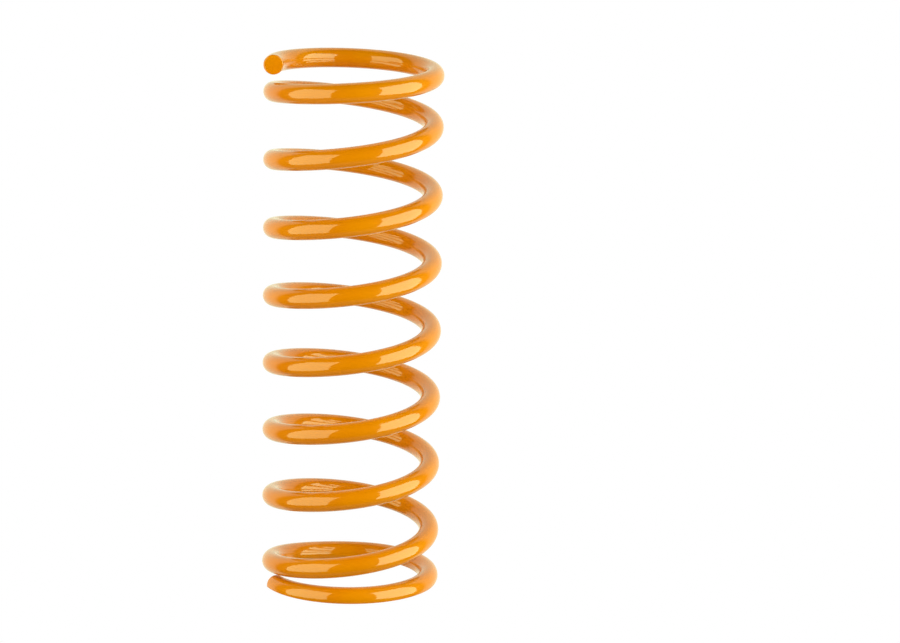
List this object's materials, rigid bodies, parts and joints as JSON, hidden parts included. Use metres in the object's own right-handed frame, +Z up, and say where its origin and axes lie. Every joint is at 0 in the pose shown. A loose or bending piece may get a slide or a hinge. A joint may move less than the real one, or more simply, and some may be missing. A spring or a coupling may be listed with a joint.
{
  "type": "coil spring",
  "caption": "Helical compression spring for a vehicle suspension, wound from one round bar, with closed ends, a flat ground foot and an orange powder coat.",
  "frame": {"origin": "on the spring's axis, at the ground flat under its lower end coil, which it stands on", "axes": "+Z up along the spring's axis; +X to the spring's right as seen from -Y, the side its upper bar end faces"},
  "size_m": [0.144, 0.144, 0.4328],
  "materials": {
    "powder_coat": "gloss orange powder coat over wound spring steel"
  },
  "bodies": {
    "bottom_end_coil": {"bottom_end_coil": "powder_coat"},
    "coil_1_front_right": {"coil_1_front_right": "powder_coat"},
    "coil_1_back_right": {"coil_1_back_right": "powder_coat"},
    "coil_1_back_left": {"coil_1_back_left": "powder_coat"},
    "coil_2_front_left": {"coil_2_front_left": "powder_coat"},
    "coil_2_front_right": {"coil_2_front_right": "powder_coat"},
    "coil_2_back_right": {"coil_2_back_right": "powder_coat"},
    "coil_2_back_left": {"coil_2_back_left": "powder_coat"},
    "coil_3_front_left": {"coil_3_front_left": "powder_coat"},
    "coil_3_front_right": {"coil_3_front_right": "powder_coat"},
    "coil_3_back_right": {"coil_3_back_right": "powder_coat"},
    "coil_3_back_left": {"coil_3_back_left": "powder_coat"},
    "coil_4_front_left": {"coil_4_front_left": "powder_coat"},
    "coil_4_front_right": {"coil_4_front_right": "powder_coat"},
    "coil_4_back_right": {"coil_4_back_right": "powder_coat"},
    "coil_4_back_left": {"coil_4_back_left": "powder_coat"},
    "coil_5_front_left": {"coil_5_front_left": "powder_coat"},
    "coil_5_front_right": {"coil_5_front_right": "powder_coat"},
    "coil_5_back_right": {"coil_5_back_right": "powder_coat"},
    "coil_5_back_left": {"coil_5_back_left": "powder_coat"},
    "coil_6_front_left": {"coil_6_front_left": "powder_coat"},
    "coil_6_front_right": {"coil_6_front_right": "powder_coat"},
    "coil_6_back_right": {"coil_6_back_right": "powder_coat"},
    "coil_6_back_left": {"coil_6_back_left": "powder_coat"},
    "coil_7_front_left": {"coil_7_front_left": "powder_coat"},
    "coil_7_front_right": {"coil_7_front_right": "powder_coat"},
    "coil_7_back_right": {"coil_7_back_right": "powder_coat"},
    "coil_7_back_left": {"coil_7_back_left": "powder_coat"},
    "top_end_coil": {"top_end_coil": "powder_coat"}
  },
  "joints": [
    {"name": "compression", "type": "slide", "parent": "bottom_end_coil", "child": "top_end_coil", "axis": [0, 0, -1], "range_m": [0, 0.24], "stiffness_N_per_m": 44000},
    {"name": "coil_1_front_right_travel", "type": "slide", "parent": "bottom_end_coil", "child": "coil_1_front_right", "axis": [0, 0, -1], "range_m": [0, 0.00622]},
    {"name": "coil_1_back_right_travel", "type": "slide", "parent": "bottom_end_coil", "child": "coil_1_back_right", "axis": [0, 0, -1], "range_m": [0, 0.01512]},
    {"name": "coil_1_back_left_travel", "type": "slide", "parent": "bottom_end_coil", "child": "coil_1_back_left", "axis": [0, 0, -1], "range_m": [0, 0.024]},
    {"name": "coil_2_front_left_travel", "type": "slide", "parent": "bottom_end_coil", "child": "coil_2_front_left", "axis": [0, 0, -1], "range_m": [0, 0.03288]},
    {"name": "coil_2_front_right_travel", "type": "slide", "parent": "bottom_end_coil", "child": "coil_2_front_right", "axis": [0, 0, -1], "range_m": [0, 0.04178]},
    {"name": "coil_2_back_right_travel", "type": "slide", "parent": "bottom_end_coil", "child": "coil_2_back_right", "axis": [0, 0, -1], "range_m": [0, 0.05066]},
    {"name": "coil_2_back_left_travel", "type": "slide", "parent": "bottom_end_coil", "child": "coil_2_back_left", "axis": [0, 0, -1], "range_m": [0, 0.05954]},
    {"name": "coil_3_front_left_travel", "type": "slide", "parent": "bottom_end_coil", "child": "coil_3_front_left", "axis": [0, 0, -1], "range_m": [0, 0.06845]},
    {"name": "coil_3_front_right_travel", "type": "slide", "parent": "bottom_end_coil", "child": "coil_3_front_right", "axis": [0, 0, -1], "range_m": [0, 0.07733]},
    {"name": "coil_3_back_right_travel", "type": "slide", "parent": "bottom_end_coil", "child": "coil_3_back_right", "axis": [0, 0, -1], "range_m": [0, 0.08623]},
    {"name": "coil_3_back_left_travel", "type": "slide", "parent": "bottom_end_coil", "child": "coil_3_back_left", "axis": [0, 0, -1], "range_m": [0, 0.09511]},
    {"name": "coil_4_front_left_travel", "type": "slide", "parent": "bottom_end_coil", "child": "coil_4_front_left", "axis": [0, 0, -1], "range_m": [0, 0.10399]},
    {"name": "coil_4_front_right_travel", "type": "slide", "parent": "bottom_end_coil", "child": "coil_4_front_right", "axis": [0, 0, -1], "range_m": [0, 0.1129]},
    {"name": "coil_4_back_right_travel", "type": "slide", "parent": "bottom_end_coil", "child": "coil_4_back_right", "axis": [0, 0, -1], "range_m": [0, 0.12178]},
    {"name": "coil_4_back_left_travel", "type": "slide", "parent": "bottom_end_coil", "child": "coil_4_back_left", "axis": [0, 0, -1], "range_m": [0, 0.13066]},
    {"name": "coil_5_front_left_travel", "type": "slide", "parent": "bottom_end_coil", "child": "coil_5_front_left", "axis": [0, 0, -1], "range_m": [0, 0.13956]},
    {"name": "coil_5_front_right_travel", "type": "slide", "parent": "bottom_end_coil", "child": "coil_5_front_right", "axis": [0, 0, -1], "range_m": [0, 0.14844]},
    {"name": "coil_5_back_right_travel", "type": "slide", "parent": "bottom_end_coil", "child": "coil_5_back_right", "axis": [0, 0, -1], "range_m": [0, 0.15734]},
    {"name": "coil_5_back_left_travel", "type": "slide", "parent": "bottom_end_coil", "child": "coil_5_back_left", "axis": [0, 0, -1], "range_m": [0, 0.16622]},
    {"name": "coil_6_front_left_travel", "type": "slide", "parent": "bottom_end_coil", "child": "coil_6_front_left", "axis": [0, 0, -1], "range_m": [0, 0.1751]},
    {"name": "coil_6_front_right_travel", "type": "slide", "parent": "bottom_end_coil", "child": "coil_6_front_right", "axis": [0, 0, -1], "range_m": [0, 0.18401]},
    {"name": "coil_6_back_right_travel", "type": "slide", "parent": "bottom_end_coil", "child": "coil_6_back_right", "axis": [0, 0, -1], "range_m": [0, 0.19289]},
    {"name": "coil_6_back_left_travel", "type": "slide", "parent": "bottom_end_coil", "child": "coil_6_back_left", "axis": [0, 0, -1], "range_m": [0, 0.20177]},
    {"name": "coil_7_front_left_travel", "type": "slide", "parent": "bottom_end_coil", "child": "coil_7_front_left", "axis": [0, 0, -1], "range_m": [0, 0.21067]},
    {"name": "coil_7_front_right_travel", "type": "slide", "parent": "bottom_end_coil", "child": "coil_7_front_right", "axis": [0, 0, -1], "range_m": [0, 0.21955]},
    {"name": "coil_7_back_right_travel", "type": "slide", "parent": "bottom_end_coil", "child": "coil_7_back_right", "axis": [0, 0, -1], "range_m": [0, 0.22846]},
    {"name": "coil_7_back_left_travel", "type": "slide", "parent": "bottom_end_coil", "child": "coil_7_back_left", "axis": [0, 0, -1], "range_m": [0, 0.23719]}
  ],
  "couplings": [
    {"joint": "coil_1_front_right_travel", "follows": "compression", "ratio": 0.0259},
    {"joint": "coil_1_back_right_travel", "follows": "compression", "ratio": 0.063},
    {"joint": "coil_1_back_left_travel", "follows": "compression", "ratio": 0.1},
    {"joint": "coil_2_front_left_travel", "follows": "compression", "ratio": 0.137},
    {"joint": "coil_2_front_right_travel", "follows": "compression", "ratio": 0.1741},
    {"joint": "coil_2_back_right_travel", "follows": "compression", "ratio": 0.2111},
    {"joint": "coil_2_back_left_travel", "follows": "compression", "ratio": 0.2481},
    {"joint": "coil_3_front_left_travel", "follows": "compression", "ratio": 0.2852},
    {"joint": "coil_3_front_right_travel", "follows": "compression", "ratio": 0.3222},
    {"joint": "coil_3_back_right_travel", "follows": "compression", "ratio": 0.3593},
    {"joint": "coil_3_back_left_travel", "follows": "compression", "ratio": 0.3963},
    {"joint": "coil_4_front_left_travel", "follows": "compression", "ratio": 0.4333},
    {"joint": "coil_4_front_right_travel", "follows": "compression", "ratio": 0.4704},
    {"joint": "coil_4_back_right_travel", "follows": "compression", "ratio": 0.5074},
    {"joint": "coil_4_back_left_travel", "follows": "compression", "ratio": 0.5444},
    {"joint": "coil_5_front_left_travel", "follows": "compression", "ratio": 0.5815},
    {"joint": "coil_5_front_right_travel", "follows": "compression", "ratio": 0.6185},
    {"joint": "coil_5_back_right_travel", "follows": "compression", "ratio": 0.6556},
    {"joint": "coil_5_back_left_travel", "follows": "compression", "ratio": 0.6926},
    {"joint": "coil_6_front_left_travel", "follows": "compression", "ratio": 0.7296},
    {"joint": "coil_6_front_right_travel", "follows": "compression", "ratio": 0.7667},
    {"joint": "coil_6_back_right_travel", "follows": "compression", "ratio": 0.8037},
    {"joint": "coil_6_back_left_travel", "follows": "compression", "ratio": 0.8407},
    {"joint": "coil_7_front_left_travel", "follows": "compression", "ratio": 0.8778},
    {"joint": "coil_7_front_right_travel", "follows": "compression", "ratio": 0.9148},
    {"joint": "coil_7_back_right_travel", "follows": "compression", "ratio": 0.9519},
    {"joint": "coil_7_back_left_travel", "follows": "compression", "ratio": 0.9883}
  ]
}
